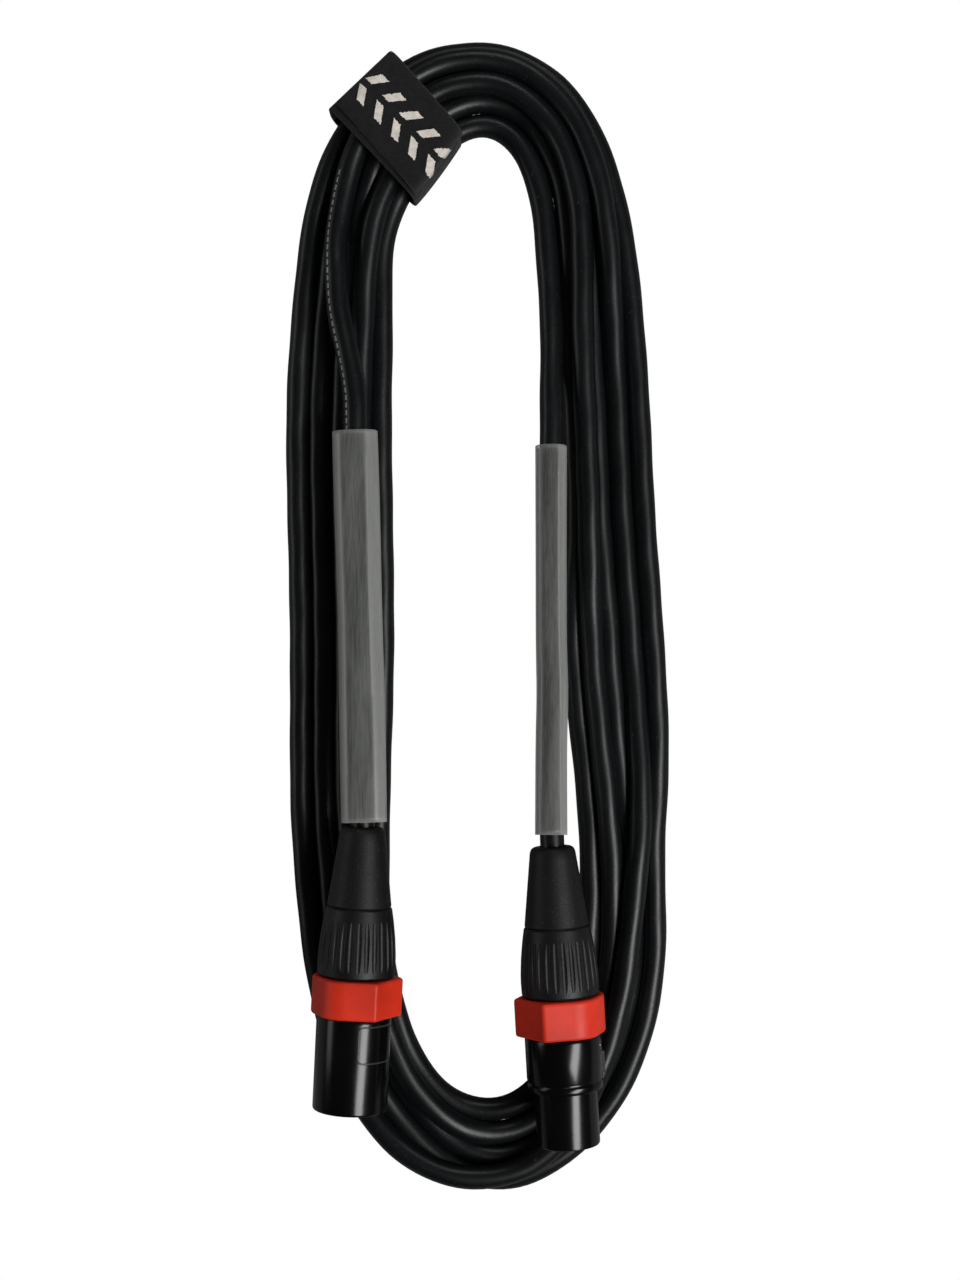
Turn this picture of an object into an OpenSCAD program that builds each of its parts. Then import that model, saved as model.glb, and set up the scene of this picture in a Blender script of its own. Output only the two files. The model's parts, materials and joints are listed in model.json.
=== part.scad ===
// A signal cable with a three-pole plug at one end and a three-pole socket at the other,
// wound into a long loop, laid flat and held by one hook-and-loop strap.
// +Z is up, +Y runs along the long side of the loop, and z = 0 is the surface it rests on.

/* [Cable] */
// Outside diameter of the cable jacket
cable_d = 6.0; // [5.8:0.1:6.1]
// Longest straight step of the jacket round a bend
arc_step = 7; // [6:0.5:10]
// Flats around the jacket
jacket_sides = 8; // [8:1:10]

/* [Connector lengths] */
// Length of the rubber boot behind the nut
boot_len = 20.2; // [19.8:0.1:20.8]
// Length of the ribbed nut
nut_len = 17.5; // [17.2:0.1:18.2]
// Length of the coloured coding ring
ring_len = 9.7; // [9.4:0.1:10.0]
// Length of the plug shell in front of the ring
plug_shell_len = 23.9; // [23.6:0.1:24.6]
// Length of the socket body in front of the ring
socket_body_len = 13.8; // [13.4:0.1:14.2]
// Length of the socket nose
socket_nose_len = 14.0; // [13.8:0.1:14.6]

/* [Connector diameters] */
// Boot diameter where the cable comes out
boot_tip_d = 11.4; // [11:0.1:11.8]
// Boot diameter against the nut
boot_base_d = 16.6; // [16.2:0.1:17]
// Widest diameter of the nut
nut_d = 19.8; // [19.4:0.1:20.2]
// Coding ring across opposite corners
ring_d = 24.2; // [23.8:0.1:24.4]
// Plug shell diameter
plug_d = 19.0; // [18.8:0.1:19.2]
// Socket body diameter
socket_d = 19.4; // [19.2:0.1:19.6]
// Socket nose diameter
nose_d = 16.0; // [15.9:0.05:16]

/* [Clearance] */
// Running gap between a moving piece and its neighbour
run_gap = 0.2; // [0.15:0.05:0.25]

/* [Label sleeves] */
// Length of each label sleeve
sleeve_len = 100; // [90:1:101]
// Width of the plug end's flattened sleeve
plug_sleeve_w = 11.8; // [11:0.1:12.4]
// Width of the socket end's sleeve
socket_sleeve_w = 8.4; // [8.2:0.1:9]
// Sleeve wall thickness
sleeve_wall = 0.4; // [0.3:0.1:0.5]

/* [Strap] */
// Width of the hook-and-loop strap
strap_w = 20; // [18:1:22]
// Thickness of one strap layer
strap_t = 1.2; // [1:0.1:1.4]
// Depth of the bundle inside the strap
bundle_h = 11.6; // [11.4:0.1:12.4]
// Width of the bundle inside the strap
bundle_w = 30.6; // [30.4:0.1:31.4]

/* [Hidden] */

cable_r = cable_d / 2;

// Guide stations once round the loop, clockwise from the middle of the left side.
// The first list is the centre of the outermost lane, the second of the innermost.
outer_lane = [
    [-47, -6.6], [-46.2, 83], [-40.9, 111.6], [-26.4, 137.3], [-3.8, 148.5], [23.2, 134.8],
    [36.3, 108.7], [39.5, 83], [45.9, -6.6], [47.4, -62], [44.7, -101.2], [34.6, -126.3],
    [5, -148.4], [-20.7, -137.9], [-39.8, -103.8], [-45.3, -66]
];
inner_lane = [
    [-25.9, -6.6], [-25.7, 83], [-22.9, 107.5], [-13.4, 120.3], [0.5, 130.5], [11.3, 123.2],
    [16.2, 107], [18.7, 83], [18.7, -6.6], [28.3, -62], [25.8, -102], [18.4, -120.8],
    [2.6, -130.3], [-11.5, -124], [-22.4, -102.6], [-26, -69.5]
];

// For each turn, [lane, height] at each station: lane 0 is outermost and 1 innermost.
low = 3.0;
lift = 4.4;
turn_lanes = [
    // first turn, from the plug: it lies on top of the others
    [[0.5, 15], [0.46, 11.8], [0.3, 10], [0.16, 9.6], [0.12, 9.4], [0.17, 8.3],
     [0.2, 7.6], [0.24, 6], [0.215, 4.4], [0.33, 7.4], [0.36, 8.8], [0.36, 8.9],
     [0.14, 8.8], [0, 7.2], [0, low], [0, low]],
    // second turn: outermost on the left and the right
    [[0, low], [0, low], [0, lift], [0, lift], [0, lift], [0, low],
     [0, low], [0, low], [0, low], [0, low], [0, low], [0, low],
     [0, low], [0.28, low], [0.31, low], [0.29, low]],
    // third turn
    [[0.29, low], [0.29, low], [0.29, lift], [0.27, lift], [0.33, lift], [0.34, low],
     [0.36, low], [0.45, low], [0.43, 3.6], [0.45, low], [0.33, low], [0.33, low],
     [0.335, low], [0.62, low], [0.62, low], [0.57, low]],
    // fourth turn
    [[0.57, low], [0.57, low], [0.56, lift], [0.5, 7.4], [0.52, 9.8], [0.5, 8.6],
     [0.54, 8.2], [0.61, 8.2], [0.6, 7.2], [0.62, 7.6], [0.66, low], [0.66, low],
     [0.67, low], [0.81, 7.6], [0.81, 7.6], [0.78, 7]],
    // fifth turn
    [[0.8, 7], [0.86, 8.2], [0.82, 8.8], [0.76, 6.6], [0.68, 5.2], [0.67, low],
     [0.68, low], [0.75, low], [0.77, low], [1, low], [1, low], [1, low],
     [1, low], [1, low], [1, low], [1, low]],
    // last turn, into the socket: innermost all the way
    [[1, low], [1, low], [0.98, lift], [1, lift], [1, lift], [1, low],
     [1, 3.4], [1, 5.2]]
];

function lane_point(station, lane) =
    outer_lane[station] * (1 - lane[0]) + inner_lane[station] * lane[0];
function coil_point(turn, station) =
    let(lane = turn_lanes[turn][station], p = lane_point(station, lane))
    [p[0], p[1], lane[1]];

// Where each connector's boot tip lies, and which way the connector points from there.
// Both connectors lie on top of the strands.
axis_height = 22.1;
plug_tip = [-29.4, -54, axis_height];
plug_turn = -2.7;
socket_tip = [18.6, -59, axis_height];
socket_turn = 3.2;
function along(tip, turn, distance) =
    [tip[0] + sin(turn) * distance, tip[1] - cos(turn) * distance, tip[2]];

// The jacket ends inside each connector, this far in front of the boot tip
jacket_in = 45;
// The straight lie of each label sleeve, from its lower end to its upper end
plug_sleeve_low = [-29.25, -52.9, axis_height - 0.1];
plug_sleeve_high = [-31.8, 47.4, 15.8];
socket_sleeve_low = [18.45, -56.1, axis_height - 0.2];
socket_sleeve_high = [18.8, 43.6, 12];
function between(a, b, s) = a + (b - a) * s;

plug_end_points = [
    for (d = [jacket_in, jacket_in - 15, 18, 8, 2]) along(plug_tip, plug_turn, d)
];
plug_sleeve_points = [
    for (s = [0.06, 0.3, 0.55, 0.8, 1, 1.08]) between(plug_sleeve_low, plug_sleeve_high, s)
];
coil_points = [
    for (turn = [0 : 5])
    for (station = [(turn == 0 ? 1 : 0) : len(turn_lanes[turn]) - 1])
    coil_point(turn, station)
];
socket_sleeve_points = [
    for (s = [1.08, 1, 0.75, 0.5, 0.25, 0.04]) between(socket_sleeve_low, socket_sleeve_high, s)
];
socket_end_points = [
    for (d = [2, 8, 18, jacket_in - 15, jacket_in]) along(socket_tip, socket_turn, d)
];
path_points = concat(
    plug_end_points, plug_sleeve_points, coil_points, socket_sleeve_points, socket_end_points
);

// A smooth curve through the points, whose speed follows the distance between them
last_point = len(path_points) - 1;
function gap_after(i) = norm(path_points[i + 1] - path_points[i]);
function slope_at(i) =
    i == 0 ? (path_points[1] - path_points[0]) / gap_after(0)
    : i == last_point ? (path_points[i] - path_points[i - 1]) / gap_after(i - 1)
    : let(
        before = (path_points[i] - path_points[i - 1]) / gap_after(i - 1),
        after = (path_points[i + 1] - path_points[i]) / gap_after(i),
        w = gap_after(i - 1) / (gap_after(i - 1) + gap_after(i))
    ) before * (1 - w) + after * w;
function curve_point(i, s) =
    let(
        g = gap_after(i),
        h1 = 2 * pow(s, 3) - 3 * pow(s, 2) + 1,
        h2 = pow(s, 3) - 2 * pow(s, 2) + s,
        h3 = 3 * pow(s, 2) - 2 * pow(s, 3),
        h4 = pow(s, 3) - pow(s, 2)
    )
    h1 * path_points[i] + h2 * g * slope_at(i) + h3 * path_points[i + 1] + h4 * g * slope_at(i + 1);
straight_span = 60;
function span_steps(i) = gap_after(i) > straight_span ? 6 : ceil(gap_after(i) / arc_step);
function above_rest(p) = [p[0], p[1], max(p[2], low)];
centreline = concat(
    [for (i = [0 : last_point - 1]) for (k = [0 : span_steps(i) - 1])
        above_rest(curve_point(i, k / span_steps(i)))],
    [path_points[last_point]]
);

// One ring of jacket points; the loop lies nearly flat, so +Z serves as the rings' upright
function unit(v) = v / norm(v);
ring_total = len(centreline);
function heading(k) =
    unit(centreline[min(k + 1, ring_total - 1)] - centreline[max(k - 1, 0)]);
function jacket_ring(k, r) =
    let(t = heading(k), side = unit(cross(t, [0, 0, 1])), up = cross(side, t))
    [for (j = [0 : jacket_sides - 1])
        let(a = 360 * (j + 0.5) / jacket_sides)
        centreline[k] + side * r * cos(a) + up * r * sin(a)];

module tube_along_centreline(r) {
    points = [for (k = [0 : ring_total - 1]) each jacket_ring(k, r)];
    walls = [
        for (k = [0 : ring_total - 2]) for (j = [0 : jacket_sides - 1])
        let(a = k * jacket_sides + j, b = k * jacket_sides + (j + 1) % jacket_sides)
        each [[a, b, b + jacket_sides], [a, b + jacket_sides, a + jacket_sides]]
    ];
    first_cap = [for (j = [jacket_sides - 1 : -1 : 0]) j];
    last_cap = [for (j = [0 : jacket_sides - 1]) (ring_total - 1) * jacket_sides + j];
    polyhedron(points, concat([first_cap], walls, [last_cap]), convexity = 12);
}

// Moves a connector from its own frame, boot tip at the origin, +Z to its nose and +Y up,
// to its place on the coil
module at_plug() {
    translate(plug_tip) rotate([0, 0, plug_turn]) rotate([90, 0, 0]) children();
}
module at_socket() {
    translate(socket_tip) rotate([0, 0, socket_turn]) rotate([90, 0, 0]) children();
}

// Stations along a connector, measured from the boot tip towards the nose
nut_start = boot_len;
ring_start = nut_start + nut_len + 0.1;
shell_start = ring_start + ring_len + 0.15;
spigot_end = shell_start + 4.4;
spigot_r = 7.4;
spigot_bore_r = 6.75;
nut_bore_r = 6.5;
chuck_start = nut_start + 7.5;
chuck_end = shell_start + 1.4;
solder_start = chuck_end + 1.2;
insert_start = shell_start + 7.6;
plug_end = shell_start + plug_shell_len;
socket_shoulder = shell_start + socket_body_len;
socket_end = socket_shoulder + socket_nose_len;
pole_circle_r = 3.8;
pole_angles = [30, 150, 270];
pin_r = 1.2;
flute_count = 30;

// A tube or ring about +Z
module tube(r_out, r_in, z0, z1) {
    difference() {
        translate([0, 0, z0]) cylinder(h = z1 - z0, r = r_out, $fn = 72);
        translate([0, 0, z0 - 1]) cylinder(h = z1 - z0 + 2, r = r_in, $fn = 72);
    }
}

// The rubber boot: a round-nosed cone with a neck that presses into the nut
module boot_shape() {
    tip_r = boot_tip_d / 2;
    base_r = boot_base_d / 2;
    round_r = 1.4;
    bore_r = cable_r + 0.45;
    rotate_extrude($fn = 72) polygon(concat(
        [[bore_r, 0], [tip_r - round_r, 0]],
        [for (a = [15 : 15 : 75]) [tip_r - round_r + round_r * sin(a), round_r * (1 - cos(a))]],
        [
            [tip_r + 0.1, round_r], [base_r - 0.15, nut_start - 0.5], [base_r - 0.35, nut_start - 0.12],
            [nut_bore_r - 0.1, nut_start - 0.12], [nut_bore_r - 0.1, nut_start + 4.8],
            [bore_r + 0.6, nut_start + 4.8], [bore_r, nut_start + 2]
        ]
    ));
}

// The nut: a barrel with long tapered flutes and a spigot that enters the shell
module nut_shape() {
    r0 = boot_base_d / 2 + 0.1;
    r1 = nut_d / 2;
    z1 = nut_start + nut_len;
    difference() {
        rotate_extrude($fn = 96) polygon([
            [nut_bore_r, nut_start], [r0 - 0.3, nut_start], [r0, nut_start + 0.35],
            [r0 + 0.55, nut_start + 3.5], [r1 - 0.35, nut_start + 8], [r1 - 0.05, nut_start + 12],
            [r1, nut_start + 14], [r1 - 0.1, z1 - 0.7], [r1 - 0.6, z1],
            [spigot_r, z1], [spigot_r, spigot_end], [spigot_bore_r, spigot_end],
            [spigot_bore_r, z1 + 0.5], [nut_bore_r, z1 - 0.5]
        ]);
        for (i = [0 : flute_count - 1]) rotate([0, 0, 360 * i / flute_count])
            translate([r1 + 0.23, 0, nut_start + 9.2]) rotate([0, 4.6, 0])
            cylinder(h = 12.4, r = 0.85, center = true, $fn = 20);
    }
}

// The coding ring: six flats with bevelled edges and rounded corners, one rounded more
// than the others
module ring_shape(flat_turn) {
    r = ring_d / 2;
    z0 = ring_start;
    z1 = ring_start + ring_len;
    bevel = 0.8;
    difference() {
        rotate([0, 0, flat_turn]) intersection() {
            translate([0.5, 0, z0 - 1]) cylinder(h = ring_len + 2, r = r - 0.5, $fn = 96);
            union() {
                translate([0, 0, z0]) cylinder(h = bevel, r1 = r - bevel, r2 = r, $fn = 6);
                translate([0, 0, z0 + bevel]) cylinder(h = ring_len - 2 * bevel, r = r, $fn = 6);
                translate([0, 0, z1 - bevel]) cylinder(h = bevel, r1 = r, r2 = r - bevel, $fn = 6);
            }
        }
        translate([0, 0, z0 - 1]) cylinder(h = ring_len + 2, r = spigot_r + run_gap, $fn = 72);
    }
}

// The strain-relief chuck: a collet with four jaws that grips the jacket
module chuck_shape() {
    difference() {
        union() {
            translate([0, 0, chuck_start]) cylinder(h = chuck_end - chuck_start, r = 6.1, $fn = 72);
            translate([0, 0, chuck_end - 4]) cylinder(h = 4, r = 6.6, $fn = 72);
        }
        translate([0, 0, chuck_start - 1])
            cylinder(h = chuck_end - chuck_start + 2, r = cable_r + 0.15, $fn = 48);
        for (a = [0, 90]) rotate([0, 0, a + 45])
            translate([-7, -0.6, chuck_start - 1]) cube([14, 1.2, 13]);
    }
}

// Braid gathered at the jacket's end
module shield_end() {
    translate([0, 0, jacket_in + 0.05]) cylinder(h = 2, r = 2.3, $fn = 32);
}

// Two insulated cores and the drain wire, spread out to the three solder cups
module conductor_fan() {
    z0 = jacket_in + 2.1;
    z1 = solder_start - 0.5;
    start_r = 1.15;
    wire_r = 0.55;
    for (a = pole_angles) rotate([0, 0, a]) {
        lean = atan((pole_circle_r - start_r) / (z1 - z0));
        reach = norm([pole_circle_r - start_r, z1 - z0]);
        union() {
            translate([start_r, 0, z0 + wire_r]) rotate([0, lean, 0])
                cylinder(h = reach, r = wire_r, $fn = 20);
            translate([pole_circle_r, 0, z1 + 0.3]) cylinder(h = 2.6, r = wire_r, $fn = 20);
            translate([pole_circle_r, 0, z1 + 0.3]) sphere(r = wire_r, $fn = 20);
        }
    }
}

// A rounded rectangle centred on the origin
module rounded_rectangle(w, h, r) {
    square([w - 2 * r, h], center = true);
    square([w, h - 2 * r], center = true);
    for (x = [-1, 1]) for (y = [-1, 1]) translate([x * (w / 2 - r), y * (h / 2 - r)]) circle(r = r, $fn = 32);
}

// Cable and its inside ends
module cable_jacket() {
    color([0.06, 0.06, 0.065]) tube_along_centreline(cable_r);
}
module cable_shield() {
    color("silver") at_plug() shield_end();
    color("silver") at_socket() shield_end();
}
module plug_conductors() {
    color("white") at_plug() conductor_fan();
}
module socket_conductors() {
    color("white") at_socket() conductor_fan();
}

// Plug: shell, insert, pins and what grips the cable
panel_turn = 45;
module panel_groove() {
    intersection() {
        tube(plug_d / 2 + 1, plug_d / 2 - 0.3, shell_start + 1, shell_start + 13);
        rotate([0, 0, panel_turn]) translate([plug_d / 2 - 3, 0, shell_start + 6]) rotate([0, 90, 0])
            linear_extrude(height = 5) difference() {
                rounded_rectangle(9.2, 9.2, 1.4);
                rounded_rectangle(8.4, 8.4, 1);
            }
    }
}
module plug_shell() {
    r = plug_d / 2;
    color([0.03, 0.03, 0.03]) at_plug() difference() {
        rotate_extrude($fn = 96) polygon([
            [spigot_r + run_gap, shell_start], [r - 0.5, shell_start], [r - 0.1, shell_start + 0.4],
            [r, shell_start + 0.9], [r, plug_end - 0.5], [r - 0.15, plug_end - 0.12], [r - 0.45, plug_end],
            [r - 1.15, plug_end], [r - 1.3, plug_end - 0.3], [r - 1.3, shell_start + 6.9],
            [spigot_r + run_gap, shell_start + 6.9]
        ]);
        panel_groove();
    }
}
module plug_insert() {
    disc_r = plug_d / 2 - 1.35;
    color([0.05, 0.05, 0.05]) at_plug() difference() {
        union() {
            translate([0, 0, insert_start]) cylinder(h = 4.6, r = disc_r, $fn = 72);
            translate([0, 0, insert_start - 3]) cylinder(h = 3, r = 6.4, $fn = 72);
        }
        for (a = pole_angles) rotate([0, 0, a]) translate([pole_circle_r, 0, insert_start - 4])
            cylinder(h = 10, r = pin_r + 0.05, $fn = 32);
        rotate([0, 0, 75]) translate([disc_r - 0.75, -2.6, insert_start + 0.7])
            cube([2, 5.2, 3.2]);
    }
}
module plug_pins() {
    color("gold") at_plug() for (a = pole_angles) rotate([0, 0, a]) translate([pole_circle_r, 0, 0])
        difference() {
            union() {
                translate([0, 0, solder_start]) cylinder(h = plug_end - 3.4 - solder_start, r = pin_r, $fn = 32);
                translate([0, 0, plug_end - 3.4]) cylinder(h = 0.5, r1 = pin_r, r2 = pin_r - 0.4, $fn = 32);
            }
            translate([0, 0, solder_start - 1]) cylinder(h = 4.6, r = 0.8, $fn = 24);
        }
}
// A sprung leaf that joins the shell to earth
module plug_ground_spring() {
    disc_r = plug_d / 2 - 1.35;
    color("silver") at_plug() rotate([0, 0, 75])
        translate([disc_r - 0.65, -2.2, insert_start + 1]) cube([0.35, 4.4, 2.6]);
}
module plug_chuck() {
    color([0.75, 0.75, 0.72]) at_plug() chuck_shape();
}
module plug_coding_ring() {
    color([0.84, 0.16, 0.1]) at_plug() ring_shape(0);
}
module plug_back_nut() {
    color([0.1, 0.1, 0.1]) at_plug() nut_shape();
}
module plug_boot() {
    color([0.12, 0.12, 0.12]) at_plug() boot_shape();
}

// Socket: shell, insert, contacts and the push latch
latch_x = 8.8;
latch_z = shell_start + 2.6;
latch_pin_r = 0.45;
latch_w = 4.7;
module socket_shell() {
    r = socket_d / 2;
    nose = nose_d / 2;
    color([0.03, 0.03, 0.03]) at_socket() difference() {
        rotate_extrude($fn = 96) polygon([
            [spigot_r + run_gap, shell_start], [r - 0.5, shell_start], [r - 0.1, shell_start + 0.4],
            [r, shell_start + 0.9], [r, socket_shoulder - 2.9], [r - 0.35, socket_shoulder - 2.6],
            [r - 0.35, socket_shoulder - 2.2], [r - 0.05, socket_shoulder - 1.9],
            [r - 0.15, socket_shoulder - 0.5], [r - 0.6, socket_shoulder - 0.05], [nose, socket_shoulder],
            [nose, socket_end - 0.5], [nose - 0.15, socket_end - 0.12], [nose - 0.4, socket_end],
            [nose - 0.85, socket_end], [nose - 0.9, shell_start + 8.4], [spigot_r + run_gap, shell_start + 8.4]
        ]);
        translate([7.35, -latch_w / 2 - 0.15, shell_start + 0.95]) cube([4, latch_w + 0.3, 9.4]);
        translate([latch_x, 0, latch_z]) rotate([90, 0, 0])
            cylinder(h = 6.3, r = latch_pin_r + 0.02, center = true, $fn = 32);
    }
}
module socket_insert() {
    front_r = nose_d / 2 - 0.98;
    color([0.05, 0.05, 0.05]) at_socket() difference() {
        union() {
            translate([0, 0, socket_shoulder]) cylinder(h = socket_nose_len - 0.5, r = front_r, $fn = 72);
            translate([0, 0, insert_start]) cylinder(h = socket_shoulder - insert_start, r = 6.2, $fn = 72);
        }
        for (a = pole_angles) rotate([0, 0, a]) translate([pole_circle_r, 0, 0]) {
            translate([0, 0, insert_start - 1]) cylinder(h = socket_end - insert_start - 2, r = 1.65, $fn = 32);
            translate([0, 0, insert_start]) cylinder(h = socket_end, r = pin_r + 0.15, $fn = 32);
        }
        rotate([0, 0, 120]) translate([front_r - 0.75, -2, socket_shoulder + 1.7]) cube([2, 4, 8]);
    }
}
module socket_contacts() {
    length = socket_end - 3.4 - solder_start;
    color("gold") at_socket() for (a = pole_angles) rotate([0, 0, a]) translate([pole_circle_r, 0, solder_start])
        difference() {
            cylinder(h = length, r = 1.6, $fn = 32);
            translate([0, 0, length - 11]) cylinder(h = 12, r = pin_r + 0.03, $fn = 32);
            translate([0, 0, -1]) cylinder(h = 4.6, r = 0.8, $fn = 24);
            translate([-0.2, 0, length - 8]) cube([0.4, 3, 10]);
        }
}
module socket_ground_spring() {
    front_r = nose_d / 2 - 0.98;
    color("silver") at_socket() rotate([0, 0, 120])
        translate([front_r - 0.65, -1.7, socket_shoulder + 2]) cube([0.35, 3.4, 7.4]);
}
module socket_chuck() {
    color([0.75, 0.75, 0.72]) at_socket() chuck_shape();
}
module socket_latch() {
    z0 = shell_start + 1.3;
    pad_z = shell_start + 4.3;
    color([0.04, 0.04, 0.04]) at_socket() difference() {
        union() {
            translate([8.4, -latch_w / 2, z0]) cube([1.15, latch_w, 8.7]);
            translate([9, -latch_w / 2, pad_z]) cube([1.2, latch_w, 5.6]);
        }
        for (i = [0 : 5]) translate([10.25, -3, pad_z + 0.6 + 0.88 * i]) rotate([0, 45, 0])
            cube([0.42, 6, 0.42], center = false);
        translate([latch_x, 0, latch_z]) rotate([90, 0, 0])
            cylinder(h = 6, r = latch_pin_r + 0.06, center = true, $fn = 32);
        translate([7.6, -1.35, latch_z - 1.05]) cube([2.1, 2.7, 2.1]);
    }
}
module latch_pin() {
    color("silver") at_socket() translate([latch_x, 0, latch_z]) rotate([90, 0, 0])
        cylinder(h = 6.2, r = latch_pin_r, center = true, $fn = 32);
}
// A torsion spring of three turns around the pin
module latch_spring() {
    wire = 0.13;
    coil_r = 0.66;
    turns = 3;
    steps = 14 * turns;
    sides = 6;
    pitch = 0.7;
    function coil_ring(k) = let(a = 360 * turns * k / steps)
        [for (j = [0 : sides - 1]) let(b = 360 * j / sides, r = coil_r + wire * cos(b))
            [r * cos(a), r * sin(a), pitch * (k / steps - 0.5) * turns + wire * sin(b)]];
    points = [for (k = [0 : steps]) each coil_ring(k)];
    walls = [for (k = [0 : steps - 1]) for (j = [0 : sides - 1])
        let(a = k * sides + j, b = k * sides + (j + 1) % sides)
        each [[a, b + sides, b], [a, a + sides, b + sides]]];
    color("silver") at_socket() translate([latch_x, 0, latch_z]) rotate([90, 0, 0])
        polyhedron(points, concat(
            [[for (j = [0 : sides - 1]) j]], walls,
            [[for (j = [sides - 1 : -1 : 0]) steps * sides + j]]
        ));
}
module socket_coding_ring() {
    color([0.84, 0.16, 0.1]) at_socket() ring_shape(174);
}
module socket_back_nut() {
    color([0.1, 0.1, 0.1]) at_socket() nut_shape();
}
module socket_boot() {
    color([0.12, 0.12, 0.12]) at_socket() boot_shape();
}

// Label sleeves: clear tubing pressed partly flat
module label_sleeve(low_end, high_end, w, h) {
    d = high_end - low_end;
    translate(low_end) rotate([0, 0, atan2(-d[0], d[1])]) rotate([asin(d[2] / norm(d)) - 90, 0, 0])
        linear_extrude(height = sleeve_len) difference() {
            rounded_rectangle(w, h, h / 2 - 0.01);
            rounded_rectangle(w - 2 * sleeve_wall, h - 2 * sleeve_wall, h / 2 - sleeve_wall - 0.01);
        }
}
module plug_label_sleeve() {
    color([0.5, 0.52, 0.5, 0.6]) label_sleeve(plug_sleeve_low, plug_sleeve_high, plug_sleeve_w, 7.6);
}
module socket_label_sleeve() {
    color([0.5, 0.52, 0.5, 0.6]) label_sleeve(socket_sleeve_low, socket_sleeve_high, socket_sleeve_w, 7.8);
}

// Strap: a closed band round the bundle, and the loose tail pressed down on top of it
strap_centre = [-19.9, 127];
strap_angle = 43.5;
band_top = bundle_h + 2 * strap_t;
module at_strap() {
    translate([strap_centre[0], strap_centre[1], 0]) rotate([0, 0, strap_angle]) children();
}
module strap_band() {
    color([0.08, 0.08, 0.08]) at_strap() translate([-strap_w / 2, 0, band_top / 2]) rotate([90, 0, 90])
        linear_extrude(height = strap_w) difference() {
            rounded_rectangle(bundle_w + 2 * strap_t, band_top, 4.4);
            rounded_rectangle(bundle_w, bundle_h, 3.2);
        }
}
tail_reach = bundle_w / 2 - 0.4;
module strap_tail() {
    color([0.1, 0.1, 0.1]) at_strap() translate([-strap_w / 2, -tail_reach, band_top + 0.05])
        cube([strap_w, 2 * tail_reach, strap_t]);
}

cable_jacket();
cable_shield();
plug_conductors();
socket_conductors();
plug_shell();
plug_insert();
plug_pins();
plug_ground_spring();
plug_chuck();
plug_coding_ring();
plug_back_nut();
plug_boot();
plug_label_sleeve();
socket_shell();
socket_insert();
socket_contacts();
socket_ground_spring();
socket_chuck();
socket_latch();
latch_pin();
latch_spring();
socket_coding_ring();
socket_back_nut();
socket_boot();
socket_label_sleeve();
strap_band();
strap_tail();
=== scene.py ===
import json
import math

import bmesh
import bpy
import numpy as np
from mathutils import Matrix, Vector


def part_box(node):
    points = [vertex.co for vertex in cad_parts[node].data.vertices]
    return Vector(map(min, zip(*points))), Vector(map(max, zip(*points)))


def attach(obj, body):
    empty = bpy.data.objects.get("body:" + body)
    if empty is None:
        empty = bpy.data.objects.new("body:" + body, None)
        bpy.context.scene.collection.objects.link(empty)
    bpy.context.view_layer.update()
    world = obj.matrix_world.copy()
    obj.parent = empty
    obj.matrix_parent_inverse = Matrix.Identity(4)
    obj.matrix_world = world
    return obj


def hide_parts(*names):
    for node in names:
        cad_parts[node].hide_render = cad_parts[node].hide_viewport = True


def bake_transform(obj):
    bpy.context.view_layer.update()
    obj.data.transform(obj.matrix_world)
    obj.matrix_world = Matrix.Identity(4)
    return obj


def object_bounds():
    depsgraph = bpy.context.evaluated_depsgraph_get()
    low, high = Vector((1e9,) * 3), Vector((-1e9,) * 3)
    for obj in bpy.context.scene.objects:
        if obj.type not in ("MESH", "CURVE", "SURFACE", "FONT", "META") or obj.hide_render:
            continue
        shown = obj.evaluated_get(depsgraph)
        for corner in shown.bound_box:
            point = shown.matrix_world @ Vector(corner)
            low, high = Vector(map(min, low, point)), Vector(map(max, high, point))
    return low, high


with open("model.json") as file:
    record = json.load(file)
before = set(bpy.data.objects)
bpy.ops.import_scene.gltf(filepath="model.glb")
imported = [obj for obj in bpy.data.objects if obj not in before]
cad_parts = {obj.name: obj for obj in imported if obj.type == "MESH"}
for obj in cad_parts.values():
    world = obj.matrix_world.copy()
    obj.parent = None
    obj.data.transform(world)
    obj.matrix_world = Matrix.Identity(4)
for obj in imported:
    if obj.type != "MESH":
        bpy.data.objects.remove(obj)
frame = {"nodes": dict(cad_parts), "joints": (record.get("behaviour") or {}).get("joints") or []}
cad_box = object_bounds()
MM = 0.001
UP = Vector((0, 0, 1))
joints = {joint["name"]: joint for joint in frame["joints"]}


# ---------------------------------------------------------------- material kit

def node_material(name):
    """A new material, its shader, and a function that adds nodes to it."""
    material = bpy.data.materials.new(name)
    material.use_nodes = True
    tree = material.node_tree
    shader = tree.nodes["Principled BSDF"]

    def add(kind, **settings):
        made = tree.nodes.new(kind)
        for key, value in settings.items():
            if key in made.inputs:
                made.inputs[key].default_value = value
            else:
                setattr(made, key, value)
        return made

    return material, tree, shader, add


def noise_field(tree, add, scale, detail=4.0, stretch=(1, 1, 1), roughness=0.55):
    """Noise in the object's own metres, stretched along its axes."""
    place = add("ShaderNodeTexCoord")
    mapping = add("ShaderNodeMapping")
    mapping.inputs["Scale"].default_value = stretch
    tree.links.new(place.outputs["Object"], mapping.inputs["Vector"])
    field = add("ShaderNodeTexNoise", Scale=scale, Detail=detail, Roughness=roughness)
    tree.links.new(mapping.outputs["Vector"], field.inputs["Vector"])
    return field.outputs["Fac"]


def ramp(tree, add, source, stops):
    """A colour ramp on source. Each stop is (position, colour)."""
    made = add("ShaderNodeValToRGB")
    elements = made.color_ramp.elements
    while len(elements) < len(stops):
        elements.new(0.5)
    for element, (position, colour) in zip(elements, stops):
        element.position = position
        element.color = (*colour, 1)
    tree.links.new(source, made.inputs["Fac"])
    return made.outputs["Color"]


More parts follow.
